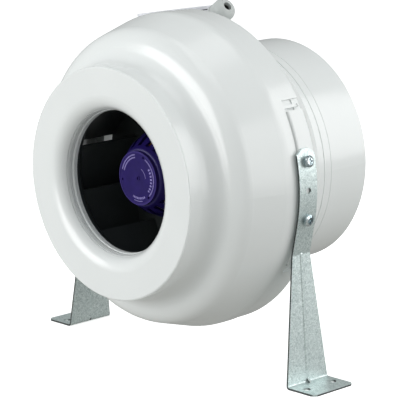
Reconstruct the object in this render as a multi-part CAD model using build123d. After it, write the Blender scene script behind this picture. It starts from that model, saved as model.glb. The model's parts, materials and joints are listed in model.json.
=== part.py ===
from build123d import *
import os
from math import atan2, cos, exp, log, radians, sin, tan

# Inline duct fan for 250 mm round duct, in millimetres.
# Each piece is first made about the fan's own axis: the airflow axis is Y, the inlet face is at
# station y = 0, X points to the right foot and Z points up. save() then moves it to the floor frame,
# whose origin is on the floor, under the axis, at half the length.

# ---------------------------------------------------------------- driving dimensions
LENGTH = 264.0
AXIS_HEIGHT = 206.4
SPIGOT_R = 124.0
WALL = 2.5
REAR_WALL = 3.0
EDGE = 1.5

# front shell
THROAT_LIP_R = 77.0
LIP_ROUND = 17.0
LIP_GROOVES = ((10.5, 79.3), (14.0, 78.1))
SHELL_R = 170.5
SEAM_Y = 111.5
NECK_Y = 33.5
SHOULDER_R = 155.0
SHOULDER_Y = 40.7
CONE_END_Y = 96.0
TONGUE_OUT_R = 166.7
TONGUE_IN_R = 164.8
TONGUE_Y = 113.7
SEAL_IN_R = 165.9
SEAL_OUT_R = 166.9
SEAL_Y = (112.2, 113.2)

# inlet nozzle
THROAT_R = 76.0
NOZZLE_Y = 17.6
NOZZLE_RIM_Y = 23.7

# rear shell
BAND_R = 170.0
BAND_Y = 111.8
BAND_END_Y = 136.5
STEP_R = 164.6
CONE_MID_R = 144.0
CONE_MID_Y = 169.0
NECK_REAR_Y = 186.0
SPIGOT_ROOT_R = 124.7
SPIGOT_ROOT_END = 208.1
BEADS = ((198.0, 0.5), (208.6, 0.3))
PAD_R = 173.0
PAD_HALF = 28.0
NOTCH_ANGLE = 30.35
NOTCH_HALF = 2.15
NOTCH_FLOOR_R = 166.2
HOOK_ANGLE = 29.9
HOOK_WIDTH = 3.2

# impeller
EYE_R = 83.0
IMPELLER_R = 125.0
SHROUD_Y = 21.5
SHROUD_RIM_Y = 50.0
PLATE_Y = 116.5
PLATE_THICK = 2.5
BLADES = 11
BLADE_IN_R = 86.5
BLADE_OUT_R = 124.0
BLADE_WRAP = 39.0
BLADE_THICK = 2.0

# motor
CAP_R = 29.0
CAP_Y = 42.4
CAN_R = 48.0
CAN_FRONT_Y = 45.6
CAN_REAR_Y = 113.5
CAN_WALL = 3.0
CAN_SLOTS = 18
FLANGE_R = 60.0
RIVET_RING_R = 55.0
AIR_GAP = 0.6
CORE_R = 39.6
CORE_Y = (82.0, 108.0)
SLOTS = 12
SHAFT_R = 4.0
BEARING_R = 11.0
BEARING_W = 7.0
FRONT_BEARING_Y = 60.0
REAR_BEARING_Y = 98.0
TUBE_R = 14.0
STATOR_FLANGE_R = 44.0
STATOR_FLANGE_Y = (121.0, 126.0)

# motor support
HUB_R = 56.0
HUB_Y = 126.0
HUB_THICK = 4.0
MOTOR_SCREW_R = 36.0
M4_R = 2.0
VANES = 8
VANE_THICK = 2.4
VANE_END_Y = 182.0
RING_IN_R = 149.8
RING_OUT_R = 166.4
RING_Y = (130.4, 133.8)
SUPPORT_SCREW_R = 157.5

# foot brackets
SHEET = 2.0
STRAP_MID_R = PAD_R + 0.2 + SHEET / 2
STRAP_TOP_Z = 43.8
STRAIGHT_ANGLE = -12.0
BEND_Z = -68.6
STRAP_WIDTH = 26.0
STRAP_CORNER = (8.5, 6.0)
FOOT_WIDTH = 61.0
FOOT_Y = 119.0
LEG_FOOT_X = 172.5
FLANGE_END_X = 211.5
FLANGE_CORNER_R = 7.5
FLANGE_HOLE_X = 190.5
FLANGE_HOLE_SPACING = 39.0
SCREW_ANGLE = 10.0
RIB_R = 3.0
RIB_HEIGHT = 1.1
STRAP_SCREW_R = 2.8
SPARE_HOLE_R = 3.4

# terminal box, in its own frame: X along the lid, Y rearwards, Z out of the lid
BOX_TURN = 9.3
BOX_FALL = 0.6
BOX_Y = 139.0
BOX_TOP = 170.0
BOX_LEFT = -80.0
BOX_LENGTH = 67.5
LID_RIGHT = -19.8
LID_THICK = 3.5
GASKET = 1.0
GLAND_TILT = 60.9
GLAND_Y = 48.9
GLAND_DEPTH = 17.8
LEAD_R = 3.0
LEAD_VANE = 112.5

FROM_BASE = (Align.CENTER, Align.CENTER, Align.MIN)
FROM_TOP = (Align.CENTER, Align.CENTER, Align.MAX)
to_floor = Pos(0, -LENGTH / 2, AXIS_HEIGHT)
os.makedirs("parts", exist_ok=True)


# ---------------------------------------------------------------- helpers
def save(node, *pieces):
    """Write one node as a group of its separate solids, moved to the floor frame."""
    solids = [solid for piece in pieces for solid in (to_floor * piece).solids()]
    export_step(Compound(children=solids), f"parts/{node}.step")


def turned(outline):
    """Solid of revolution about the airflow axis, from a closed (radius, station) outline."""
    return revolve(make_face(outline), Axis.Y)


def ring(inner, outer, start, end):
    """Plain ring or disc about the airflow axis."""
    return turned(Polyline((inner, start), (outer, start), (outer, end), (inner, end), close=True))


def lathe(*points):
    """Solid of revolution about the local Z axis, from (radius, height) points."""
    return revolve(make_face(Plane.XZ * Polyline(*points, close=True)), Axis.Z)


def tube(inner, outer, low, high):
    """Plain ring about the local Z axis."""
    return lathe((inner, low), (outer, low), (outer, high), (inner, high))


def at_azimuth(angle):
    """Turn a piece about the airflow axis, from +X towards +Z."""
    return Rot(0, -angle, 0)


def radial(angle, station, radius):
    """Frame on the casing whose Z axis points straight out."""
    return at_azimuth(angle) * Pos(radius, station, 0) * Rot(0, 90, 0)


def axial(angle, station, radius, facing=1):
    """Frame whose Z axis points to the outlet (1) or to the inlet (-1)."""
    return at_azimuth(angle) * Pos(radius, station, 0) * Rot(-90 * facing, 0, 0)


def rod(radius, start, end):
    """Round bar from one point to another."""
    along = Vector(*end) - Vector(*start)
    plane = Plane(origin=start, z_dir=along)
    return extrude(plane * Circle(radius), along.length)


def moved_outline(points, wall):
    """An open outline moved sideways by a wall's thickness, corner by corner."""
    normals = []
    for (x0, y0), (x1, y1) in zip(points, points[1:]):
        step = Vector(x1 - x0, y1 - y0).normalized()
        normals.append(Vector(-step.Y, step.X))
    moved = [Vector(*points[0]) + normals[0] * wall]
    for corner, before, after in zip(points[1:], normals, normals[1:]):
        moved.append(Vector(*corner) + (before + after) * (wall / (1 + before.dot(after))))
    moved.append(Vector(*points[-1]) + normals[-1] * wall)
    return [(corner.X, corner.Y) for corner in moved]


def moved_radii(points, radii, wall):
    """The corner radii of moved_outline: larger on one side of the wall, smaller on the other."""
    moved = []
    for a, b, c, radius in zip(points, points[1:], points[2:], radii):
        turn = (b[0] - a[0]) * (c[1] - b[1]) - (b[1] - a[1]) * (c[0] - b[0])
        moved.append(max(radius - wall if turn > 0 else radius + wall, 0.5))
    return moved


def skin(points, radii, wall):
    """A turned sheet of even thickness: its outer outline has rounded corners."""
    outer = FilletPolyline(*points, radius=radii)
    inner = FilletPolyline(*moved_outline(points, wall), radius=moved_radii(points, radii, wall))
    ends = [Line(outer @ 0, inner @ 0), Line(outer @ 1, inner @ 1)]
    return revolve(make_face([*outer.edges(), *inner.edges(), *ends]), Axis.Y)


def pan_screw(head_r, head_h, shank_r, length):
    """Cross-recessed screw: the head stands on local Z = 0 and the shank points down."""
    dome = head_r * 0.62
    head = lathe((0, 0), (head_r, 0), (head_r, head_h * 0.55), (dome, head_h), (0, head_h))
    recess = Box(head_r * 1.15, head_r * 0.28, head_h) + Box(head_r * 0.28, head_r * 1.15, head_h)
    shank = lathe((0, -length), (shank_r * 0.7, -length), (shank_r, 1 - length), (shank_r, 0), (0, 0))
    return head + shank - Pos(0, 0, head_h) * recess


# ---------------------------------------------------------------- casing
front_corners = [
    (THROAT_LIP_R, NOZZLE_Y),
    (THROAT_LIP_R, 0),
    (SPIGOT_R, 0),
    (SPIGOT_R, NECK_Y),
    (SHOULDER_R, SHOULDER_Y),
    (SHELL_R, CONE_END_Y),
    (SHELL_R, SEAM_Y),
]
front_radii = [LIP_ROUND, EDGE, 20.5, 24.5, 30.0]

rear_corners = [
    (BAND_R, BAND_Y),
    (BAND_R - 0.4, BAND_END_Y),
    (STEP_R, BAND_END_Y + 0.7),
    (CONE_MID_R, CONE_MID_Y),
    (SPIGOT_R, NECK_REAR_Y),
    (SPIGOT_R, LENGTH),
]
rear_radii = [1.0, 1.0, 12.0, 8.0]


def snap_hook(angle):
    """One moulded latch finger, with its hooked tip, lying in a notch of the rear shell."""
    finger = Pos(168.4, 121.0, 0) * Box(2.2, 25.0, HOOK_WIDTH)
    tip = Pos(168.9, 132.5, 0) * Box(3.2, 2.0, HOOK_WIDTH)
    return at_azimuth(angle) * (finger + tip)


def both_sides(angle):
    """The four azimuths that mirror one angle up, down, left and right."""
    return (angle, -angle, 180 - angle, 180 + angle)


def make_front_shell():
    shell = skin(front_corners, front_radii, WALL)
    shell += ring(TONGUE_IN_R, SHELL_R - 1.0, 103.0, SEAM_Y)
    shell += ring(TONGUE_IN_R, TONGUE_OUT_R, SEAM_Y - 1.0, TONGUE_Y)
    shell -= ring(SEAL_IN_R, TONGUE_OUT_R + 1, SEAL_Y[0] - 0.05, SEAL_Y[1] + 0.05)
    for middle, floor_r in LIP_GROOVES:
        shell -= ring(THROAT_LIP_R - 1, floor_r, middle - 0.4, middle + 0.4)
    for angle in both_sides(HOOK_ANGLE):
        shell += snap_hook(angle)
    return shell


def make_inlet_nozzle():
    throat = Polyline(
        (THROAT_LIP_R - 0.5, NOZZLE_Y),
        (THROAT_R, NOZZLE_Y + 1.4),
        (THROAT_R, NOZZLE_RIM_Y - 0.6),
        (THROAT_R + 0.6, NOZZLE_RIM_Y),
        (THROAT_R + 2.6, NOZZLE_RIM_Y),
        (THROAT_R + 2.6, NOZZLE_Y + 2.0),
        (88.0, NOZZLE_Y + 2.0),
        (88.0, NOZZLE_Y),
        (82.6, NOZZLE_Y),
        (82.6, 13.6),
        (80.8, 13.6),
        (80.8, NOZZLE_Y),
        close=True,
    )
    return turned(throat) - ring(THROAT_R - 1, THROAT_R + 0.7, 20.3, 20.9)


def casing_outside(growth=0.0):
    """The filled outer volume of the rear shell, for cutting what sits on it."""
    outline = moved_outline(rear_corners, -growth)
    radii = moved_radii(rear_corners, rear_radii, -growth)
    edge = FilletPolyline(*outline, radius=radii)
    start, end = edge @ 0, edge @ 1
    closing = Polyline(end, (0, end.Y), (0, start.Y), start)
    return revolve(make_face([*edge.edges(), *closing.edges()]), Axis.Y)


def pad(centre):
    """Raised seat on the band for one foot bracket."""
    outline = Polyline(
        (BAND_R - 2, BAND_Y),
        (PAD_R - 1.8, BAND_Y),
        (PAD_R - 0.5, BAND_Y + 0.6),
        (PAD_R, BAND_Y + 1.9),
        (PAD_R, 133.0),
        (BAND_R - 0.5, 138.6),
        (BAND_R - 2, 137.0),
        close=True,
    )
    sector = revolve(make_face(outline), Axis.Y, revolution_arc=2 * PAD_HALF)
    return at_azimuth(centre + PAD_HALF) * sector


def notch(angle):
    """The gap in the band that shows one latch finger, and the trough behind it."""
    width = 2 * BAND_R * sin(radians(NOTCH_HALF))
    skin_gap = Pos(BAND_R + 2, 125.0, 0) * Box(9.4, 30.0, width)
    well = Pos(NOTCH_FLOOR_R + 5, 122.7, 0) * Box(10.0, 10.4, width)
    trough = Pos(NOTCH_FLOOR_R - 0.1, 122.7, 0) * Box(4.8, 15.0, width + 6)
    return at_azimuth(angle) * (skin_gap + well), at_azimuth(angle) * trough


bracket_screws_at = [(side + turn) for side in (0, 180) for turn in (-SCREW_ANGLE, SCREW_ANGLE)]
support_screws_at = [45 + 90 * k for k in range(4)]


# thicker root of the outlet spigot and the beads on it; the duct slides on as far as the last one
beads = [ring(SPIGOT_R - 1, SPIGOT_ROOT_R, NECK_REAR_Y, SPIGOT_ROOT_END)]
beads += [ring(SPIGOT_R - 1, SPIGOT_ROOT_R + rise, middle - 0.5, middle + 0.5) for middle, rise in BEADS]


def make_rear_shell():
    shell = skin(rear_corners, rear_radii, REAR_WALL)
    shell += beads
    for centre in (0, 180):
        shell += pad(centre)
    for angle in both_sides(NOTCH_ANGLE):
        gap, trough = notch(angle)
        shell += trough
        shell -= gap
    for angle in bracket_screws_at:
        boss = radial(angle, FOOT_Y, 160.0) * Cylinder(5.0, 8.5, align=FROM_BASE)
        shell += boss
        shell -= radial(angle, FOOT_Y, 158.0) * Cylinder(3.8, 20.0, align=FROM_BASE)
    bosses = [
        axial(angle, RING_Y[1], SUPPORT_SCREW_R) * Cylinder(4.4, 8.0, align=FROM_BASE)
        for angle in support_screws_at
    ]
    filled = casing_outside()
    for angle, boss in zip(support_screws_at, bosses):
        shell += boss & filled
        shell -= axial(angle, RING_Y[1] - 1, SUPPORT_SCREW_R) * Cylinder(M4_R, 7.5, align=FROM_BASE)
    shell -= lead_hole
    for spot in box_screws_at:
        shell -= box_frame * Pos(*spot) * Cylinder(2.0, 40.0)
    return shell


# ---------------------------------------------------------------- impeller
shroud_corners = [(EYE_R, SHROUD_Y), (EYE_R, 36.0), (IMPELLER_R, SHROUD_RIM_Y)]
shroud_radii = [15.0]
SHROUD_THICK = 2.0


def spiral_point(share, side):
    """A point in the XZ plane on one face of a blade, whose trace is a logarithmic spiral."""
    growth = log(BLADE_OUT_R / BLADE_IN_R)
    radius = BLADE_IN_R * exp(growth * share)
    angle = radians(BLADE_WRAP) * share
    lean = atan2(growth, radians(BLADE_WRAP))
    across = angle - lean
    x = radius * cos(angle) + side * BLADE_THICK / 2 * cos(across)
    z = radius * sin(angle) + side * BLADE_THICK / 2 * sin(across)
    return (x, z)


def make_blades():
    """Backward-curved blades, trimmed to the shroud on one side and the back plate on the other."""
    faces = [ThreePointArc(*[spiral_point(share, side) for share in (0, 0.5, 1)]) for side in (1, -1)]
    ends = [Line(faces[0] @ 0, faces[1] @ 0), Line(faces[0] @ 1, faces[1] @ 1)]
    section = Plane.XZ * make_face([*faces, *ends])
    blank = Pos(0, PLATE_Y, 0) * extrude(section, PLATE_Y - SHROUD_Y, dir=(0, -1, 0))
    seat = moved_outline(shroud_corners, SHROUD_THICK)
    edge = FilletPolyline(*seat, radius=[shroud_radii[0] + SHROUD_THICK])
    start, end = edge @ 0, edge @ 1
    closing = Polyline(end, (end.X + 9, end.Y), (end.X + 9, PLATE_Y), (60, PLATE_Y), (60, start.Y), start)
    room = revolve(make_face([*edge.edges(), *closing.edges()]), Axis.Y)
    blade = blank & room
    pitch = 360 / BLADES
    return [at_azimuth(pitch * k) * blade for k in range(BLADES)]


def make_shroud():
    shroud = skin(shroud_corners, shroud_radii, SHROUD_THICK)
    bead = ring(EYE_R - 1.0, EYE_R + 1.2, SHROUD_Y, SHROUD_Y + 2.0)
    return shroud + bead


rivets_at = [60 * k for k in range(6)]
cap_holes_at = (70, 190, 310)
clips_at = (22, 219)


def make_backplate():
    plate = ring(49.0, IMPELLER_R, PLATE_Y, PLATE_Y + PLATE_THICK)
    for angle in rivets_at:
        plate -= axial(angle, PLATE_Y, RIVET_RING_R) * Cylinder(2.0, 20.0)
    return plate


def make_clips():
    """Two U-shaped balance clips on the rim of the back plate."""
    body = Pos(IMPELLER_R - 1.5, PLATE_Y + PLATE_THICK / 2, 0) * Box(6.0, PLATE_THICK + 1.6, 7.0)
    gap = ring(0, IMPELLER_R, PLATE_Y, PLATE_Y + PLATE_THICK)
    return [at_azimuth(angle) * (body - gap) for angle in clips_at]


# ---------------------------------------------------------------- motor
def make_rotor_can():
    corners = [(9.0, CAN_FRONT_Y), (31.0, CAN_FRONT_Y), (41.0, 60.0), (CAN_R, 76.0), (CAN_R, CAN_REAR_Y)]
    can = skin(corners, [3.0, 8.0, 12.0], CAN_WALL)
    can += ring(CAN_R - CAN_WALL, FLANGE_R, CAN_REAR_Y, PLATE_Y)
    can += ring(SHAFT_R, 12.0, CAN_FRONT_Y, 57.0)
    slot = Pos(39.0, 56.0, 0) * Box(10.0, 30.0, 5.5)
    for k in range(CAN_SLOTS):
        can -= at_azimuth(k * 360 / CAN_SLOTS) * slot
    for angle in rivets_at:
        can -= axial(angle, PLATE_Y, RIVET_RING_R) * Cylinder(2.0, 20.0)
    return can


def make_rotor_cap():
    """Printed front disc of the rotor, with a raised rim, a centre pip and three holes."""
    disc = ring(0, CAP_R, CAP_Y, CAN_FRONT_Y)
    disc += ring(CAP_R - 1.4, CAP_R, CAP_Y - 0.6, CAP_Y)
    disc += ring(1.6, 2.8, CAP_Y - 0.6, CAP_Y)
    disc -= ring(0, 1.6, CAP_Y - 0.1, CAP_Y + 0.8)
    for angle in cap_holes_at:
        disc -= axial(angle, CAP_Y, 24.5) * Cylinder(1.3, 3.0)
    return disc


def make_stator_core():
    core = ring(TUBE_R, CORE_R, *CORE_Y)
    middle = sum(CORE_Y) / 2
    slot = Pos(30.0, middle, 0) * Box(12.0, 50.0, 7.0) + Pos(38.0, middle, 0) * Box(6.0, 50.0, 2.4)
    for k in range(SLOTS):
        core -= at_azimuth(k * 360 / SLOTS) * slot
    return core


def make_windings():
    """End turns at both faces of the core, joined by the copper in the slots."""
    front, rear = CORE_Y
    coils = ring(18.0, 37.0, front - 8.0, front - 0.4) + ring(18.0, 37.0, rear + 0.4, rear + 9.0)
    bar = Pos(30.0, (front + rear) / 2, 0) * Box(11.2, rear - front + 2, 6.4)
    for k in range(SLOTS):
        coils += at_azimuth(k * 360 / SLOTS) * bar
    return coils


def make_bearing(start):
    bearing = ring(SHAFT_R + 0.02, BEARING_R, start, start + BEARING_W)
    for low in (start, start + BEARING_W - 0.5):
        bearing -= ring(6.2, 9.2, low, low + 0.5)
    return bearing


def make_stator_flange():
    flange = ring(BEARING_R, STATOR_FLANGE_R, *STATOR_FLANGE_Y)
    flange += ring(BEARING_R, TUBE_R, FRONT_BEARING_Y - 2, STATOR_FLANGE_Y[0])
    flange += ring(9.5, TUBE_R - 1, FRONT_BEARING_Y + BEARING_W + 1.5, REAR_BEARING_Y)
    for angle in support_screws_at:
        flange -= axial(angle, STATOR_FLANGE_Y[1], MOTOR_SCREW_R) * Cylinder(M4_R, 9.0)
    flange -= lead_run
    return flange


# ---------------------------------------------------------------- motor support
vanes_at = [22.5 + 45 * k for k in range(VANES)]


def make_support_hub():
    hub = ring(0, HUB_R, HUB_Y, HUB_Y + HUB_THICK) + ring(HUB_R - 2.5, HUB_R, HUB_Y, 150.0)
    for angle in support_screws_at:
        hub -= axial(angle, HUB_Y, MOTOR_SCREW_R) * Cylinder(M4_R, 20.0)
    return hub - lead_run


def make_guide_vanes():
    outline = Polyline(
        (HUB_R, HUB_Y + 1.0),
        (RING_IN_R, HUB_Y + 1.0),
        (RING_IN_R, 143.0),
        (136.0, 166.5),
        (122.5, VANE_END_Y),
        (HUB_R + 22, VANE_END_Y),
        (HUB_R, 152.0),
        close=True,
    )
    sheet = extrude(make_face(outline), VANE_THICK / 2, both=True)
    sheet -= ring(0, HUB_R, HUB_Y - 5, LENGTH)
    sheet &= ring(0, RING_IN_R, HUB_Y - 5, LENGTH)
    return [at_azimuth(angle) * sheet for angle in vanes_at]


def make_support_ring():
    body = ring(RING_IN_R, RING_OUT_R, *RING_Y) + ring(RING_IN_R, RING_IN_R + 2.6, HUB_Y + 1.0, 142.0)
    for angle in support_screws_at:
        body -= axial(angle, RING_Y[0], SUPPORT_SCREW_R) * Cylinder(M4_R, 10.0)
    return body


# ---------------------------------------------------------------- motor lead
# The lead lies flat against one vane, so its route is drawn in that vane's plane.
LEAD_SIDE = VANE_THICK / 2 + LEAD_R + 0.3
lead_route = [
    (30.0, 122.0),
    (30.0, 150.0),
    (48.0, 164.0),
    (78.0, 167.0),
    (108.0, 167.5),
    (126.0, 175.0),
    (149.8, 175.0),
]
lead_plane = at_azimuth(LEAD_VANE) * Pos(0, 0, -LEAD_SIDE)


def largest_arc(before, corner, after):
    """The arc radius that uses 0.45 of the shorter run at one corner of a route."""
    run_in = Vector(*corner) - Vector(*before)
    run_out = Vector(*after) - Vector(*corner)
    turn = radians(run_in.get_angle(run_out))
    return 0.45 * min(run_in.length, run_out.length) / tan(turn / 2)


lead_radii = [largest_arc(*trio) for trio in zip(lead_route, lead_route[1:], lead_route[2:])]


def lead_tube(radius):
    path = FilletPolyline(*lead_route, radius=lead_radii)
    start = Plane(origin=path @ 0, z_dir=path % 0)
    return lead_plane * sweep(start * Circle(radius), path=path)


motor_lead = lead_tube(LEAD_R)
lead_run = lead_tube(LEAD_R + 0.2)
lead_end = lead_plane * Pos(140.0, 175.0, 0)
lead_hole = lead_end * Rot(0, 90, 0) * Cylinder(6.0, 24.0)


def make_grommet():
    return lead_end * Rot(0, 90, 0) * Pos(0, 0, -0.5) * tube(LEAD_R + 0.05, 6.0, -6.0, 6.5)


vane_zone = at_azimuth(LEAD_VANE) * Pos(100, 150, 0) * Box(120, 90, VANE_THICK + 0.02)


def make_lead_clips():
    """Two saddles that hold the lead to the vane beside it."""
    clips = []
    for distance in (84.0, 102.0):
        saddle = Pos(distance, 167.3, 0) * Box(6.0, 9.6, 2 * LEAD_R + 1.2)
        saddle += Pos(distance, 167.3, (LEAD_SIDE - VANE_THICK / 2) / 2) * Box(6.0, 9.6, LEAD_R + 0.3)
        clips.append(lead_plane * saddle - lead_run - vane_zone)
    return clips


# ---------------------------------------------------------------- terminal box
box_frame = Rot(0, -BOX_TURN, 0) * Pos(0, BOX_Y, BOX_TOP) * Rot(-BOX_FALL, 0, 0)
gland_slope = 1 / tan(radians(GLAND_TILT))
base_top = -LID_THICK - GASKET
BASE_LOW = -52.0
lid_width = LID_RIGHT - BOX_LEFT
lid_centre = Pos((LID_RIGHT + BOX_LEFT) / 2, BOX_LENGTH / 2, 0)
lid_screws_at = [(x, y) for x in (BOX_LEFT + 5.5, LID_RIGHT - 5.5) for y in (5.5, BOX_LENGTH - 5.5)]
box_screws_at = [(-68.0, 16.0, -14.0), (-32.0, 14.0, -8.6)]


def slanted_block(inset, top):
    """Box body with one leaning side wall, shrunk all round by an inset."""
    lean = inset / cos(radians(90 - GLAND_TILT))
    corner_top = LID_RIGHT - top * gland_slope - lean
    corner_low = LID_RIGHT - BASE_LOW * gland_slope - lean
    outline = Plane.XZ * Polyline(
        (BOX_LEFT + inset, top),
        (corner_top, top),
        (corner_low, BASE_LOW),
        (BOX_LEFT + inset, BASE_LOW),
        close=True,
    )
    depth = BOX_LENGTH - 2 * inset
    block = Pos(0, BOX_LENGTH - inset, 0) * extrude(make_face(outline), depth, dir=(0, -1, 0))
    uprights = [edge for edge in block.edges() if abs(edge.tangent_at(0.5).Z) > 0.7]
    return fillet(uprights, max(6.0 - inset, 1.0))


def make_terminal_box():
    body = box_frame * slanted_block(0, base_top) - casing_outside()
    body -= box_frame * slanted_block(WALL, base_top + 1) - casing_outside(WALL)
    inside = box_frame * slanted_block(1.0, base_top)
    outside_casing = casing_outside()
    for x, y in lid_screws_at:
        boss = box_frame * Pos(x, y, base_top) * Cylinder(3.6, 9.0, align=FROM_TOP)
        body += (boss & inside) - outside_casing
    for x, y, top in box_screws_at:
        boss = box_frame * Pos(x, y, top) * Cylinder(5.0, 30.0, align=FROM_TOP)
        body += (boss & inside) - outside_casing
    for x, y in lid_screws_at:
        body -= box_frame * Pos(x, y, base_top + 1) * Cylinder(1.5, 5.3, align=FROM_TOP)
    for x, y, top in box_screws_at:
        body -= box_frame * Pos(x, y, top) * Cylinder(2.0, 40.0)
    body -= gland_frame * Cylinder(8.0, 24.0)
    body -= gland_frame * Pos(0, 0, -WALL - 6.0) * Cylinder(12.0, 6.0, align=FROM_BASE)
    return body - lead_hole - beads


def lid_outline(inset):
    return RectangleRounded(lid_width - 2 * inset, BOX_LENGTH - 2 * inset, 6.0 - inset)


def make_lid():
    lid = lid_centre * Pos(0, 0, -LID_THICK) * extrude(lid_outline(0), LID_THICK)
    lid = fillet(lid.edges().group_by(Axis.Z)[-1], 1.2)
    for x, y in lid_screws_at:
        lid -= Pos(x, y, -1.4) * Cylinder(3.1, 3.0, align=FROM_BASE)
        lid -= Pos(x, y, 0) * Cylinder(1.5, 20.0)
    return box_frame * lid


def make_gasket():
    frame = extrude(lid_outline(0.4) - lid_outline(2.6), GASKET)
    return box_frame * lid_centre * Pos(0, 0, base_top) * frame


BLOCK_X = -39.5
POLE_PITCH = 10.0
block_frame = Rot(0, -BOX_TURN, 0) * Pos(0, 175.0, 153.3)
poles_at = [BLOCK_X + POLE_PITCH * k for k in (-1, 0, 1)]


def make_terminal_block():
    block = Pos(BLOCK_X, 0, 0) * Box(30.0, 14.0, 11.0)
    for x in poles_at:
        block -= Pos(x, 0, 5.5) * Cylinder(2.6, 8.0)
        block -= Pos(x, -6, -1.5) * Rot(90, 0, 0) * Cylinder(1.8, 6.0)
    return block_frame * block


def make_terminal_screws():
    screw = pan_screw(2.3, 1.6, 1.4, 2.0)
    return [block_frame * Pos(x, 0, 3.5) * screw for x in poles_at]


def make_capacitor():
    case = fillet(Box(37.0, 12.0, 24.0).edges(), 1.2)
    pins = [Pos(x, 0, 12.0) * Box(5.0, 0.8, 2.6) for x in (-8.0, 8.0)]
    return Rot(0, -BOX_TURN, 0) * Pos(-48.5, 190.0, 146.5) * (case + pins)


# gland, along its own axis: local Z points out of the leaning wall
gland_wall_x = LID_RIGHT + GLAND_DEPTH * gland_slope
gland_frame = box_frame * Pos(gland_wall_x, GLAND_Y, -GLAND_DEPTH) * Rot(0, GLAND_TILT, 0)
NUT_END = 31.0


def make_gland_body():
    collar = lathe((4.6, 2.4), (12.9, 2.4), (12.9, 8.2), (12.3, 8.8), (4.6, 8.8))
    stub = lathe((4.6, -9), (8, -9), (8, 2.4), (4.6, 2.4))
    neck = lathe((4.6, 8.8), (9.8, 8.8), (9.8, 22), (8.2, 24), (6.6, 24), (6.6, 16), (4.6, 14))
    return gland_frame * (collar + stub + neck)


def make_gland_nut():
    grip = lathe((9.9, 10.4), (13.4, 10.4), (13.4, 14.4), (9.9, 14.4))
    side = Polyline((9.9, 14.4), (12.9, 14.4), (12.7, 22.5))
    dome = ThreePointArc((12.7, 22.5), (11.5, 28.0), (8.2, NUT_END))
    inside = Polyline((8.2, NUT_END), (4.8, NUT_END), (4.8, 26.0), (9.9, 24.6), (9.9, 14.4))
    nut = grip + revolve(make_face(Plane.XZ * (side + dome + inside)), Axis.Z)
    for k in range(12):
        nut -= Rot(0, 0, 30 * k) * Pos(14.1, 0, 18.0) * Cylinder(1.7, 9.0)
    return gland_frame * nut


def make_gland_seal():
    """Rubber sleeve with a short nose at each end, one in the body's bore and one in the nut's mouth."""
    inner_nose = [(3.5, 13.4), (4.4, 13.4), (4.4, 14.2)]
    waist = [(6.3, 16.3), (6.3, 24.2), (5.6, 25.4)]
    outer_nose = [(4.6, 25.8), (4.6, 27.0), (3.5, 27.0)]
    return gland_frame * lathe(*inner_nose, *waist, *outer_nose)


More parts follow.
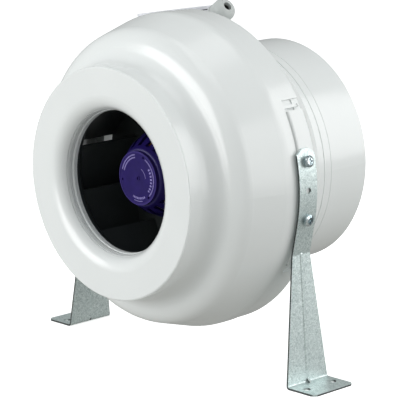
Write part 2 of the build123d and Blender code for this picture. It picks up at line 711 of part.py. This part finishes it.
# ---------------------------------------------------------------- foot brackets
def make_foot():
    """Right-hand foot: curved strap, bend, widening leg and outturned flange, from one sheet."""
    half = SHEET / 2
    turn = radians(STRAIGHT_ANGLE)
    side = Vector(cos(turn), sin(turn))
    drop = Vector(sin(turn), -cos(turn))
    tangent = side * STRAP_MID_R
    bend = tangent + drop * ((tangent.Y - BEND_Z) / -drop.Y)
    sole = -AXIS_HEIGHT
    foot = Vector(LEG_FOOT_X, sole + half)
    down = (foot - bend).normalized()
    out = Vector(-down.Y, down.X)
    slope = down.X / -down.Y

    def leg_x(face, z):
        start = bend + out * face * half
        return start.X + (start.Y - z) * slope

    top_turn = STRAP_TOP_Z / STRAP_MID_R + radians(4)
    wedge = Polyline((0, 0), (300 * cos(top_turn), 300 * sin(top_turn)), (300 * side.X, 300 * side.Y), close=True)
    strap = (Circle(STRAP_MID_R + half) - Circle(STRAP_MID_R - half)) & make_face(wedge)
    corners = (tangent + side * half, bend + side * half, bend - side * half, tangent - side * half)
    straight = make_face(Polyline(*[(corner.X, corner.Y) for corner in corners], close=True))
    outer_top = bend + out * half
    inner_top = bend - out * half
    chain = FilletPolyline(
        (outer_top.X, outer_top.Y),
        (leg_x(1, sole + SHEET), sole + SHEET),
        (FLANGE_END_X, sole + SHEET),
        (FLANGE_END_X, sole),
        (leg_x(-1, sole), sole),
        (inner_top.X, inner_top.Y),
        radius=[2.0, 0.3, 0.3, 4.0],
    )
    leg = make_face([*chain.edges(), Line(chain @ 1, chain @ 0)])
    profile = strap + straight + leg + Pos(bend.X, bend.Y) * Circle(half)
    sheet = Pos(0, FOOT_Y + 40, 0) * extrude(Plane.XZ * profile, 80, dir=(0, -1, 0))
    bottom = sole - 1
    width, foot_width = STRAP_WIDTH / 2, FOOT_WIDTH / 2
    cut_y, cut_z = STRAP_CORNER
    outline = Polyline(
        (FOOT_Y - width + cut_y, STRAP_TOP_Z),
        (FOOT_Y + width - cut_y, STRAP_TOP_Z),
        (FOOT_Y + width, STRAP_TOP_Z - cut_z),
        (FOOT_Y + width, bend.Y),
        (FOOT_Y + foot_width, bottom),
        (FOOT_Y - foot_width, bottom),
        (FOOT_Y - width, bend.Y),
        (FOOT_Y - width, STRAP_TOP_Z - cut_z),
        close=True,
    )
    foot_part = sheet & Pos(140, 0, 0) * extrude(Plane.YZ * make_face(outline), 90, dir=(1, 0, 0))
    plan = Pos(FLANGE_END_X - 40, FOOT_Y, bottom) * RectangleRounded(80, FOOT_WIDTH, FLANGE_CORNER_R)
    foot_part &= extrude(plan, 300)

    leg_frame = Plane(origin=(bend.X, FOOT_Y, bend.Y), x_dir=(down.X, 0, down.Y), z_dir=(out.X, 0, out.Y))
    rib_length = bend.Y - sole - 16

    def rib(radius, crest):
        """Round-ended bar along the leg whose top stands at a height over the sheet's middle."""
        ends = [Pos(x, 0, crest - radius) * Sphere(radius) for x in (0, rib_length)]
        bar = Pos(rib_length / 2, 0, crest - radius) * Rot(0, 90, 0) * Cylinder(radius, rib_length)
        return bar + ends

    raised = rib(RIB_R, half + RIB_HEIGHT) & Pos(rib_length / 2, 0, 0) * Box(300, 20, 20, align=FROM_BASE)
    foot_part += leg_frame * raised
    foot_part -= leg_frame * rib(RIB_R - 0.6, RIB_HEIGHT - half)
    dart_top = (leg_x(1, sole + 5.4) - 0.5, FOOT_Y, sole + 5.4)
    dart_end = (leg_x(1, sole) + 4.6, FOOT_Y, sole + 1.3)
    dent_top = (leg_x(-1, sole + 4) - 0.3, FOOT_Y, sole + 4)
    dent_end = (leg_x(-1, sole) + 3.7, FOOT_Y, sole - 0.5)
    foot_part += rod(1.4, dart_top, dart_end)
    foot_part -= rod(1.2, dent_top, dent_end)
    foot_part &= Pos(140, 0, sole) * Box(90, 300, 300, align=(Align.MIN, Align.MIN, Align.MIN))
    foot_part -= ring(0, PAD_R + 0.1, 80.0, 140.0)
    for angle, radius in ((-SCREW_ANGLE, STRAP_SCREW_R), (0, SPARE_HOLE_R), (SCREW_ANGLE, STRAP_SCREW_R)):
        foot_part -= radial(angle, FOOT_Y, STRAP_MID_R) * Cylinder(radius, 12.0)
    for side_y in (-0.5, 0.5):
        foot_part -= Pos(FLANGE_HOLE_X, FOOT_Y + side_y * FLANGE_HOLE_SPACING, sole) * Cylinder(4.0, 12.0)
    return foot_part


STRAP_OUT_R = STRAP_MID_R + SHEET / 2
WASHER = 1.0
SPRING = 1.2


def on_strap(piece, height):
    """Copies of a fastener standing on both straps, at a height above the steel."""
    return [radial(angle, FOOT_Y, STRAP_OUT_R + height) * piece for angle in bracket_screws_at]


# ---------------------------------------------------------------- write every node
save("front_shell", make_front_shell())
save("inlet_nozzle", make_inlet_nozzle())
save("rear_shell", make_rear_shell())
save("casing_seal", ring(SEAL_IN_R, SEAL_OUT_R, *SEAL_Y))

save("impeller_shroud", make_shroud())
save("impeller_blades", *make_blades())
save("impeller_backplate", make_backplate())
save("balance_clips", *make_clips())
rivet = lathe((0, -3), (2, -3), (2, PLATE_THICK), (3.6, PLATE_THICK), (2.4, 4.2), (0, 4.2))
save("impeller_rivets", *[axial(angle, PLATE_Y, RIVET_RING_R) * rivet for angle in rivets_at])

save("rotor_can", make_rotor_can())
save("rotor_cap", make_rotor_cap())
save("rotor_cage", ring(CORE_R + AIR_GAP, CAN_R - CAN_WALL, CORE_Y[0] - 1, CORE_Y[1] + 2))
shaft_groove = ring(SHAFT_R - 0.5, SHAFT_R + 1, 105.3, 106.4)
save("motor_shaft", ring(0, SHAFT_R, CAN_FRONT_Y, 110.0) - shaft_groove)
save("shaft_circlip", ring(SHAFT_R - 0.5, 7.0, 105.35, 106.35))
save("front_bearing", make_bearing(FRONT_BEARING_Y))
save("rear_bearing", make_bearing(REAR_BEARING_Y))
save("bearing_spring", ring(9.6, 10.9, FRONT_BEARING_Y + BEARING_W, FRONT_BEARING_Y + BEARING_W + 1.5))
save("stator_core", make_stator_core())
save("stator_windings", make_windings())
save("stator_flange", make_stator_flange())

save("support_hub", make_support_hub())
save("guide_vanes", *make_guide_vanes())
save("support_ring", make_support_ring())
flange_screw = pan_screw(3.5, 2.6, M4_R, 8.0)
save("motor_screws", *[axial(angle, HUB_Y + HUB_THICK, MOTOR_SCREW_R) * flange_screw for angle in support_screws_at])
ring_screw = pan_screw(3.5, 2.6, M4_R, 9.0)
save(
    "support_screws",
    *[axial(angle, RING_Y[0], SUPPORT_SCREW_R, -1) * ring_screw for angle in support_screws_at],
)

save("motor_lead", motor_lead)
save("lead_grommet", make_grommet())
save("lead_clips", *make_lead_clips())
save("terminal_box", make_terminal_box())
save("terminal_box_lid", make_lid())
save("lid_gasket", make_gasket())
lid_screw = pan_screw(2.7, 1.4, 1.5, 5.4)
save("lid_screws", *[box_frame * Pos(x, y, -1.4) * lid_screw for x, y in lid_screws_at])
box_screw = pan_screw(3.4, 2.2, 2.0, 14.0)
save("box_screws", *[box_frame * Pos(*spot) * box_screw for spot in box_screws_at])
save("terminal_block", make_terminal_block())
save("terminal_screws", *make_terminal_screws())
save("motor_capacitor", make_capacitor())
save("gland_body", make_gland_body())
save("gland_gasket", gland_frame * tube(8.1, 13.4, 0.0, 2.4))
save("gland_locknut", gland_frame * tube(8.0, 11.5, -2.5 - 4.0, -2.5))
save("gland_seal", make_gland_seal())
save("gland_nut", make_gland_nut())

right_foot = make_foot()
save("right_foot", right_foot)
save("left_foot", mirror(right_foot, Plane.YZ))
insert = tube(2.5, 3.8, 0, 11.0)
save("bracket_inserts", *[radial(angle, FOOT_Y, 161.9) * insert for angle in bracket_screws_at])
save("bracket_washers", *on_strap(tube(2.7, 5.2, 0, WASHER), 0))
save("spring_washers", *on_strap(tube(2.7, 4.7, 0, SPRING) - Pos(4, 0, 0) * Box(4, 0.8, 9), WASHER))
bracket_screw = pan_screw(6.2, 3.2, 2.5, 16.0)
save("bracket_screws", *on_strap(bracket_screw, WASHER + SPRING))
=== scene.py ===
import json
from math import cos, pi, radians, sin

import bpy
from mathutils import Matrix, Vector


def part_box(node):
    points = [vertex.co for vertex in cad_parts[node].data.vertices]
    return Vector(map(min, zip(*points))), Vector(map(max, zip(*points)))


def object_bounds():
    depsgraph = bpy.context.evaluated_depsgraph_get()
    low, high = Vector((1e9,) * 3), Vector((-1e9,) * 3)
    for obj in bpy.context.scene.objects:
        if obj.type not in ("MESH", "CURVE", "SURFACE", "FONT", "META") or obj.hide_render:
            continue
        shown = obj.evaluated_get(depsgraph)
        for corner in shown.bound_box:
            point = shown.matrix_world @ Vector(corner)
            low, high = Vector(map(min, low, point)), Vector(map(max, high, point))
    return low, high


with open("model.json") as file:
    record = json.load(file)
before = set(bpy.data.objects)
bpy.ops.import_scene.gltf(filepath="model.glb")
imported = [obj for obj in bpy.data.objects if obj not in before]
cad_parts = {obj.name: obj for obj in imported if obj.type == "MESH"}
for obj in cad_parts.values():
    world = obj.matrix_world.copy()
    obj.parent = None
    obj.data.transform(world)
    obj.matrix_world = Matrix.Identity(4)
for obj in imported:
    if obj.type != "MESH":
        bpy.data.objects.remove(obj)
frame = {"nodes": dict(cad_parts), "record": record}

cad_low, cad_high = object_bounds()
nodes = frame["nodes"]
scene = bpy.context.scene


# ---------------------------------------------------------------- material building blocks
# places of the Mix node's sockets, whose names are the same for every data type
MIX_SHARE = 0
VECTOR_A, VECTOR_B, VECTOR_OUT = 4, 5, 1
COLOR_A, COLOR_B, COLOR_OUT = 6, 7, 2
# where most values of a noise texture lie, and a wider reach for a softer change
NOISE_REACH = 0.35, 0.65
WIDE_REACH = 0.3, 0.7


class Nodes:
    """A small wrapper that makes and links shader nodes."""

    def __init__(self, name):
        self.material = bpy.data.materials.new(name)
        self.material.use_nodes = True
        self.tree = self.material.node_tree
        self.shader = self.tree.nodes["Principled BSDF"]
        place = self.add("ShaderNodeTexCoord").outputs
        self.where, self.facing = place["Object"], place["Normal"]

    def add(self, kind, inputs=(), **settings):
        made = self.tree.nodes.new(kind)
        for key, value in settings.items():
            setattr(made, key, value)
        for key, value in dict(inputs).items():
            self.feed(made.inputs[key], value)
        return made

    def feed(self, socket, value):
        if isinstance(value, bpy.types.NodeSocket):
            self.tree.links.new(value, socket)
        else:
            socket.default_value = value

    def noise(self, scale, detail=4.0, roughness=0.55, at=None):
        made = self.add(
            "ShaderNodeTexNoise",
            {"Vector": at or self.where, "Scale": scale, "Detail": detail, "Roughness": roughness},
        )
        return made.outputs["Fac"]

    def cells(self, scale, at):
        """Crystal-like cells, each with a random colour of its own."""
        return self.add("ShaderNodeTexVoronoi", {"Vector": at, "Scale": scale}).outputs["Color"]

    def ranged(self, value, low, high, to_low, to_high):
        ends = {"From Min": low, "From Max": high, "To Min": to_low, "To Max": to_high}
        return self.add("ShaderNodeMapRange", {"Value": value, **ends}).outputs["Result"]

    def math(self, operation, a, b=0.0):
        return self.add("ShaderNodeMath", {0: a, 1: b}, operation=operation).outputs[0]

    def weighted(self, *terms):
        """The sum of (value, share) terms."""
        total = None
        for value, share in terms:
            part = self.math("MULTIPLY", value, share)
            total = part if total is None else self.math("ADD", total, part)
        return total

    def mix(self, share, a, b):
        inputs = {MIX_SHARE: share, COLOR_A: a, COLOR_B: b}
        return self.add("ShaderNodeMix", inputs, data_type="RGBA").outputs[COLOR_OUT]

    def mix_vectors(self, share, a, b):
        inputs = {MIX_SHARE: share, VECTOR_A: a, VECTOR_B: b}
        return self.add("ShaderNodeMix", inputs, data_type="VECTOR").outputs[VECTOR_OUT]

    def split(self, vector):
        return self.add("ShaderNodeSeparateXYZ", {"Vector": vector}).outputs

    def stretched(self, x, y, z):
        """Object coordinates scaled along each axis, for streaks and brushed lines."""
        made = self.add("ShaderNodeMapping", {"Vector": self.where, "Scale": (x, y, z)})
        return made.outputs["Vector"]

    def bumps(self, *layers):
        """Stacked bump nodes from (height, strength, depth in metres) layers."""
        normal = None
        for height, strength, depth in layers:
            inputs = {"Height": height, "Strength": strength, "Distance": depth}
            made = self.add("ShaderNodeBump", inputs)
            if normal is not None:
                self.feed(made.inputs["Normal"], normal)
            normal = made.outputs["Normal"]
        return normal

    def surface(self, color, roughness, normal=None, metallic=0.0, **plain):
        self.feed(self.shader.inputs["Base Color"], color)
        self.feed(self.shader.inputs["Roughness"], roughness)
        self.shader.inputs["Metallic"].default_value = metallic
        if normal is not None:
            self.feed(self.shader.inputs["Normal"], normal)
        for key, value in plain.items():
            self.shader.inputs[key.replace("_", " ")].default_value = value
        return self.material


def rgb(red, green, blue):
    return (red, green, blue, 1.0)


def moulded(name, light, dark, rough=(0.3, 0.42), grain=0.15, grain_scale=900.0, peel=0.06, **plain):
    """Moulded plastic: slow cloudy tone, fine grain and a faint waviness from the tool."""
    n = Nodes(name)
    cloud = n.noise(14.0, 3.0)
    speck = n.noise(grain_scale, 2.0)
    wave = n.noise(60.0, 2.0)
    tone = n.weighted((cloud, 0.75), (speck, 0.25))
    color = n.mix(n.ranged(tone, *NOISE_REACH, 0.0, 1.0), dark, light)
    smear = n.noise(35.0, 5.0, 0.65)
    roughness = n.ranged(smear, *WIDE_REACH, *rough)
    normal = n.bumps((wave, peel, 0.0015), (speck, grain, 0.0002))
    return n.surface(color, roughness, normal, **plain)


def worked_metal(
    name, light, dark, rough=(0.25, 0.4), stretch=(1, 1, 1), scale=300.0, patch_scale=70.0, **plain
):
    """Turned, rolled or plated metal with fine directional lines and a patchy tone."""
    n = Nodes(name)
    lines = n.noise(scale, 5.0, 0.6, at=n.stretched(*stretch))
    patch = n.noise(patch_scale, 4.0)
    color = n.mix(n.ranged(patch, *NOISE_REACH, 0.0, 1.0), dark, light)
    roughness = n.ranged(n.weighted((lines, 0.5), (patch, 0.5)), *NOISE_REACH, *rough)
    normal = n.bumps((lines, 0.25, 0.0002), (n.noise(1400.0, 2.0), 0.08, 0.0001))
    return n.surface(color, roughness, normal, metallic=1.0, **plain)


LEAF_SCALE, FINE_SCALE = 620.0, 1100.0
LEAF_BEND = 0.008
# how far inside the sheet's end, in metres, the cut edge's painted shade starts and is full
CUT_START, CUT_FULL = 0.0006, 0.0003


def galvanised(name, sheet_end):
    """Galvanised sheet: crystal speckle of two sizes, each leaf its own tone and gloss, with dull cut edges
    whose near-black colour is partly the bare steel's own darker tone and partly painted shade.

    sheet_end is how far the feet's cut ends stand from the fan's axis, in metres.
    """
    n = Nodes(name)
    swirl = n.add("ShaderNodeTexNoise", {"Vector": n.where, "Scale": 260.0}).outputs["Color"]
    spot = n.mix_vectors(LEAF_BEND, n.where, swirl)
    leaf = n.split(n.cells(LEAF_SCALE, spot))[0]
    fine = n.split(n.cells(FINE_SCALE, spot))[1]
    patch = n.noise(60.0, 3.0)
    tone = n.weighted((leaf, 0.38), (fine, 0.47), (patch, 0.15))
    share = n.ranged(tone, 0.15, 0.95, 0.0, 1.0)
    color = n.mix(share, rgb(0.42, 0.505, 0.50), rgb(0.86, 0.94, 0.93))

    across = n.math("ABSOLUTE", n.split(n.where)[0])
    _, facing_y, facing_z = n.split(n.facing)[:3]
    # side faces and cut ends of the sheet: mask for the painted shade on its edges
    shaded_side_edge = n.ranged(n.math("ABSOLUTE", facing_y), 0.80, 0.95, 0.0, 1.0)
    at_end = n.ranged(across, sheet_end - CUT_START, sheet_end - CUT_FULL, 0.0, 1.0)
    upright_face = n.ranged(n.math("ABSOLUTE", facing_z), 0.5, 0.7, 1.0, 0.0)
    cut = n.math("MAXIMUM", shaded_side_edge, n.math("MULTIPLY", at_end, upright_face))
    # near-black on the cut edges: painted shade over the bare steel's darker tone
    color = n.mix(cut, color, n.mix(patch, rgb(0.055, 0.06, 0.06), rgb(0.10, 0.11, 0.11)))
    roughness = n.math("ADD", n.ranged(tone, 0.2, 0.9, 0.52, 0.36), n.math("MULTIPLY", cut, 0.2))
    normal = n.bumps((leaf, 0.10, 0.0002), (n.noise(1500.0, 3.0), 0.10, 0.0001))
    return n.surface(color, roughness, normal, metallic=0.75)


def polar(n, fan_axis_height):
    """Radius in metres and turn from 0 to 1 about the fan's axis."""
    x, _, z = n.split(n.where)[:3]
    up = n.math("SUBTRACT", z, fan_axis_height)
    radius = n.math("SQRT", n.math("ADD", n.math("MULTIPLY", x, x), n.math("MULTIPLY", up, up)))
    turn = n.math("MULTIPLY", n.math("ARCTAN2", up, x), 0.5 / pi)
    return radius, n.math("ADD", turn, 0.5)


def band(n, value, low, high, soft):
    """1 between low and high, falling to 0 over soft on both sides."""
    rise = n.ranged(value, low - soft, low + soft, 0.0, 1.0)
    fall = n.ranged(value, high - soft, high + soft, 1.0, 0.0)
    return n.math("MULTIPLY", rise, fall)


# rings of the plain printed pattern: radius and half width in mm, first and last angle in degrees from +X
# towards +Z, marks round the full circle (0 for one plain line), and how much of its step each mark fills
PRINTED_RINGS = (
    (25.2, 0.7, 100, 165, 150, 0.72),
    (22.3, 0.7, 100, 165, 132, 0.72),
    (24.0, 0.75, -45, 62, 132, 0.68),
    (20.2, 1.25, -38, 40, 36, 0.55),
    (21.6, 1.10, -112, -62, 60, 0.60),
    (24.8, 0.45, -105, -75, 150, 0.60),
    (11.5, 0.25, 5, 65, 0, 1.0),
)
PRINT_SOFT = 0.00012
# radius band in metres of the painted highlight ring at the disc's edge
DISC_RIM_HIGHLIGHT = 0.0262, 0.0278


def printed_disc(name, axis_height):
    """Violet disc with a plain printed pattern: broken rings of short, pale marks, and a painted highlight
    ring at its edge.
    """
    n = Nodes(name)
    radius, turn = polar(n, axis_height)
    cloud = n.noise(120.0, 4.0)
    share = n.ranged(cloud, *WIDE_REACH, 0.0, 1.0)
    base = n.mix(share, rgb(0.012, 0.005, 0.085), rgb(0.018, 0.008, 0.115))
    marks = None
    for middle, half, first, last, count, filled in PRINTED_RINGS:
        ring = band(n, radius, (middle - half) / 1000, (middle + half) / 1000, PRINT_SOFT)
        ring = n.math("MULTIPLY", ring, band(n, turn, 0.5 + first / 360, 0.5 + last / 360, 0.001))
        if count:
            step = n.math("FRACT", n.math("MULTIPLY", turn, float(count)))
            ring = n.math("MULTIPLY", ring, band(n, step, 0.0, filled, 0.06))
        marks = ring if marks is None else n.math("MAXIMUM", marks, ring)
    worn = n.ranged(n.noise(900.0, 3.0), 0.3, 0.55, 0.5, 0.85)
    color = n.mix(n.math("MULTIPLY", marks, worn), base, rgb(0.36, 0.31, 0.66))
    # painted highlight: a lighter violet ring round the disc's edge
    rim_highlight = n.ranged(radius, *DISC_RIM_HIGHLIGHT, 0.0, 0.5)
    color = n.mix(rim_highlight, color, rgb(0.06, 0.042, 0.22))
    roughness = n.ranged(n.noise(60.0, 4.0), *WIDE_REACH, 0.5, 0.62)
    normal = n.bumps((n.noise(800.0, 2.0), 0.08, 0.0002))
    return n.surface(color, roughness, normal, Specular_IOR_Level=0.15)


def striped(name, light, dark, pitch, metallic, rough):
    """Stacked laminations or laid wire: even fine lines across the fan's axis."""
    n = Nodes(name)
    along = n.split(n.where)[1]
    line = n.math("SINE", n.math("MULTIPLY", along, 2 * pi / pitch))
    patch = n.noise(90.0, 4.0)
    line_share = n.ranged(line, -1.0, 1.0, 0.0, 0.6)
    share = n.math("ADD", line_share, n.math("MULTIPLY", patch, 0.4))
    color = n.mix(share, dark, light)
    normal = n.bumps((line, 0.4, pitch / 3), (n.noise(500.0, 3.0), 0.1, 0.0002))
    return n.surface(color, n.ranged(patch, *WIDE_REACH, *rough), normal, metallic=metallic)


axis_height = sum(corner.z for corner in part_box("impeller_backplate")) / 2

finishes = {
    "white_casing": moulded(
        "white_casing", rgb(0.80, 0.825, 0.82), rgb(0.78, 0.805, 0.80), rough=(0.2, 0.27), grain=0.02,
        peel=0.006, Coat_Weight=0.35, Coat_Roughness=0.18,
    ),
    # the box's white plastic, made darker and lilac-grey as painted shade
    "white_box": moulded(
        "white_box", rgb(0.74, 0.75, 0.79), rgb(0.69, 0.70, 0.745), rough=(0.42, 0.55), grain=0.3,
    ),
    "black_impeller": moulded(
        "black_impeller", rgb(0.052, 0.060, 0.060), rgb(0.034, 0.040, 0.040), rough=(0.3, 0.44), grain=0.2,
    ),
    "black_support": moulded(
        "black_support", rgb(0.026, 0.029, 0.029), rgb(0.015, 0.017, 0.017), rough=(0.38, 0.55), grain=0.3,
    ),
    "black_rubber": moulded(
        "black_rubber", rgb(0.018, 0.018, 0.018), rgb(0.01, 0.01, 0.01), rough=(0.6, 0.8), grain=0.35,
    ),
    "violet_enamel": moulded(
        "violet_enamel", rgb(0.017, 0.009, 0.11), rgb(0.010, 0.0055, 0.072), rough=(0.3, 0.45), grain=0.12,
        peel=0.2, Specular_IOR_Level=0.3,
    ),
    "violet_disc": printed_disc("violet_disc", axis_height),
    "grey_gland": moulded(
        "grey_gland", rgb(0.56, 0.585, 0.575), rgb(0.49, 0.515, 0.505), rough=(0.35, 0.48), grain=0.15,
    ),
    "grey_lead": moulded(
        "grey_lead", rgb(0.10, 0.105, 0.115), rgb(0.07, 0.074, 0.08), rough=(0.45, 0.6), grain=0.2,
    ),
    "cream_insulator": moulded(
        "cream_insulator", rgb(0.66, 0.62, 0.49), rgb(0.58, 0.54, 0.42), rough=(0.35, 0.5), grain=0.12,
    ),
    "capacitor_case": moulded(
        "capacitor_case", rgb(0.55, 0.56, 0.58), rgb(0.49, 0.50, 0.52), rough=(0.25, 0.35), grain=0.05,
    ),
    "galvanised_sheet": galvanised("galvanised_sheet", cad_high[0]),
    # the screws' zinc plating: its own blue-grey tone, with the dark end tinted teal as a painted reflection
    "zinc_steel": worked_metal(
        "zinc_steel", rgb(0.74, 0.80, 0.82), rgb(0.22, 0.30, 0.33), rough=(0.14, 0.3), patch_scale=260.0,
    ),
    "spring_steel": worked_metal("spring_steel", rgb(0.40, 0.41, 0.43), rgb(0.26, 0.27, 0.29)),
    "ground_steel": worked_metal(
        "ground_steel", rgb(0.60, 0.61, 0.63), rgb(0.52, 0.53, 0.55), rough=(0.16, 0.28), stretch=(1, 8, 1),
    ),
    "cast_aluminium": worked_metal(
        "cast_aluminium", rgb(0.58, 0.59, 0.61), rgb(0.44, 0.45, 0.47), rough=(0.42, 0.6), scale=500.0,
    ),
    "brass_insert": worked_metal(
        "brass_insert", rgb(0.72, 0.52, 0.2), rgb(0.56, 0.38, 0.13), rough=(0.28, 0.42),
    ),
    "laminated_steel": striped(
        "laminated_steel", rgb(0.36, 0.36, 0.37), rgb(0.17, 0.17, 0.18), pitch=0.001, metallic=0.9,
        rough=(0.35, 0.55),
    ),
    "copper_windings": striped(
        "copper_windings", rgb(0.20, 0.08, 0.035), rgb(0.10, 0.035, 0.015), pitch=0.0008, metallic=0.85,
        rough=(0.28, 0.42),
    ),
}

slots = {row["node"]: row["material_slot"] for row in frame["record"]["subparts"]}
for name, node in nodes.items():
    node.data.materials.clear()
    node.data.materials.append(finishes[slots[name]])

# ---------------------------------------------------------------- stage, lights and camera
FLOOR_HALF = 30.0
FLOOR_GLOW = 0.62
AIR_BELOW, AIR_LEVEL, AIR_ABOVE = rgb(0.44, 0.44, 0.41), rgb(0.47, 0.48, 0.475), rgb(0.52, 0.54, 0.54)
AIR_BEHIND = 0.62

def plain_mesh(name, points, faces, material):
    mesh = bpy.data.meshes.new(name)
    mesh.from_pydata(points, [], faces)
    mesh.materials.append(material)
    made = bpy.data.objects.new(name, mesh)
    scene.collection.objects.link(made)
    return made


def floor_finish():
    n = Nodes("studio_floor")
    color = n.mix(n.noise(3.0, 2.0), rgb(0.93, 0.93, 0.93), rgb(0.95, 0.95, 0.95))
    return n.surface(color, 0.9, Emission_Color=rgb(1.0, 1.0, 1.0), Emission_Strength=FLOOR_GLOW)


corners = [(x * FLOOR_HALF, y * FLOOR_HALF, 0.0) for x, y in ((-1, -1), (1, -1), (1, 1), (-1, 1))]
floor = plain_mesh("studio_floor", corners, [(0, 1, 2, 3)], floor_finish())
floor.visible_diffuse = False
floor.visible_glossy = False


def studio_air():
    """Even surroundings, a little lighter overhead and dimmed behind the fan."""
    world = bpy.data.worlds.new("studio_air")
    world.use_nodes = True
    air = world.node_tree
    direction = air.nodes.new("ShaderNodeSeparateXYZ")
    air.links.new(air.nodes.new("ShaderNodeTexCoord").outputs["Generated"], direction.inputs["Vector"])
    rise = air.nodes.new("ShaderNodeMapRange")
    rise.inputs["From Min"].default_value = -1.0
    air.links.new(direction.outputs["Z"], rise.inputs["Value"])
    fade = air.nodes.new("ShaderNodeValToRGB")
    fade.color_ramp.elements[0].color = AIR_BELOW
    fade.color_ramp.elements[1].color = AIR_ABOVE
    fade.color_ramp.elements.new(0.5).color = AIR_LEVEL
    air.links.new(rise.outputs["Result"], fade.inputs["Fac"])
    behind = air.nodes.new("ShaderNodeMapRange")
    behind.interpolation_type = "SMOOTHSTEP"
    behind.inputs["To Min"].default_value = 1.0
    behind.inputs["To Max"].default_value = AIR_BEHIND
    air.links.new(direction.outputs["Y"], behind.inputs["Value"])
    dimmed = air.nodes.new("ShaderNodeVectorMath")
    dimmed.operation = "SCALE"
    air.links.new(fade.outputs["Color"], dimmed.inputs["Vector"])
    air.links.new(behind.outputs["Result"], dimmed.inputs["Scale"])
    air.links.new(dimmed.outputs["Vector"], air.nodes["Background"].inputs["Color"])
    return world


scene.world = studio_air()
scene.view_settings.view_transform = "Standard"

# name, place, width and height in metres, power in watts, and how much of it lights matt surfaces
LAMPS = (
    ("key_front_left", (-0.9, -2.25, 0.75), 1.9, 1.6, 38.0, 1.0),
    ("side_right", (2.2, 0.7, 0.8), 1.8, 1.8, 17.0, 1.0),
    ("sheen_back_right", (1.35, 1.65, 0.9), 1.0, 1.8, 14.0, 0.35),
    ("overhead", (0.1, 0.1, 2.1), 1.6, 1.0, 6.0, 1.0),
)
LAMPS_AIM = Vector((0.0, 0.0, 0.2))


def softbox(name, position, width, height, power, diffuse):
    """A rectangular area light that faces the middle of the fan."""
    lamp = bpy.data.lights.new(name, "AREA")
    lamp.shape = "RECTANGLE"
    lamp.size, lamp.size_y = width, height
    lamp.energy = power
    lamp.diffuse_factor = diffuse
    made = bpy.data.objects.new(name, lamp)
    scene.collection.objects.link(made)
    made.location = position
    made.rotation_mode = "QUATERNION"
    made.rotation_quaternion = (Vector(position) - LAMPS_AIM).to_track_quat("Z", "Y")


for lamp_row in LAMPS:
    softbox(*lamp_row)

# the photograph's view: turned from the inlet towards the right foot, from a little above
AZIMUTH = radians(46.20)
ELEVATION = radians(12.67)
ROLL = radians(-0.77)
DISTANCE = 2.2963
TARGET = Vector((0.0341, -0.0320, 0.1785))
LENS = 193.7
CLIP_END = 100.0

back = Vector((sin(AZIMUTH) * cos(ELEVATION), -cos(AZIMUTH) * cos(ELEVATION), sin(ELEVATION)))
level = Vector((cos(AZIMUTH), sin(AZIMUTH), 0.0))
upright = back.cross(level)
right = level * cos(ROLL) + upright * sin(ROLL)
up = upright * cos(ROLL) - level * sin(ROLL)
facing = Matrix((right, up, back)).transposed().to_4x4()
lens = bpy.data.cameras.new("photo_camera")
lens.lens = LENS
lens.clip_end = CLIP_END
camera = bpy.data.objects.new("photo_camera", lens)
scene.collection.objects.link(camera)
camera.matrix_world = Matrix.Translation(TARGET + back * DISTANCE) @ facing
scene.camera = camera
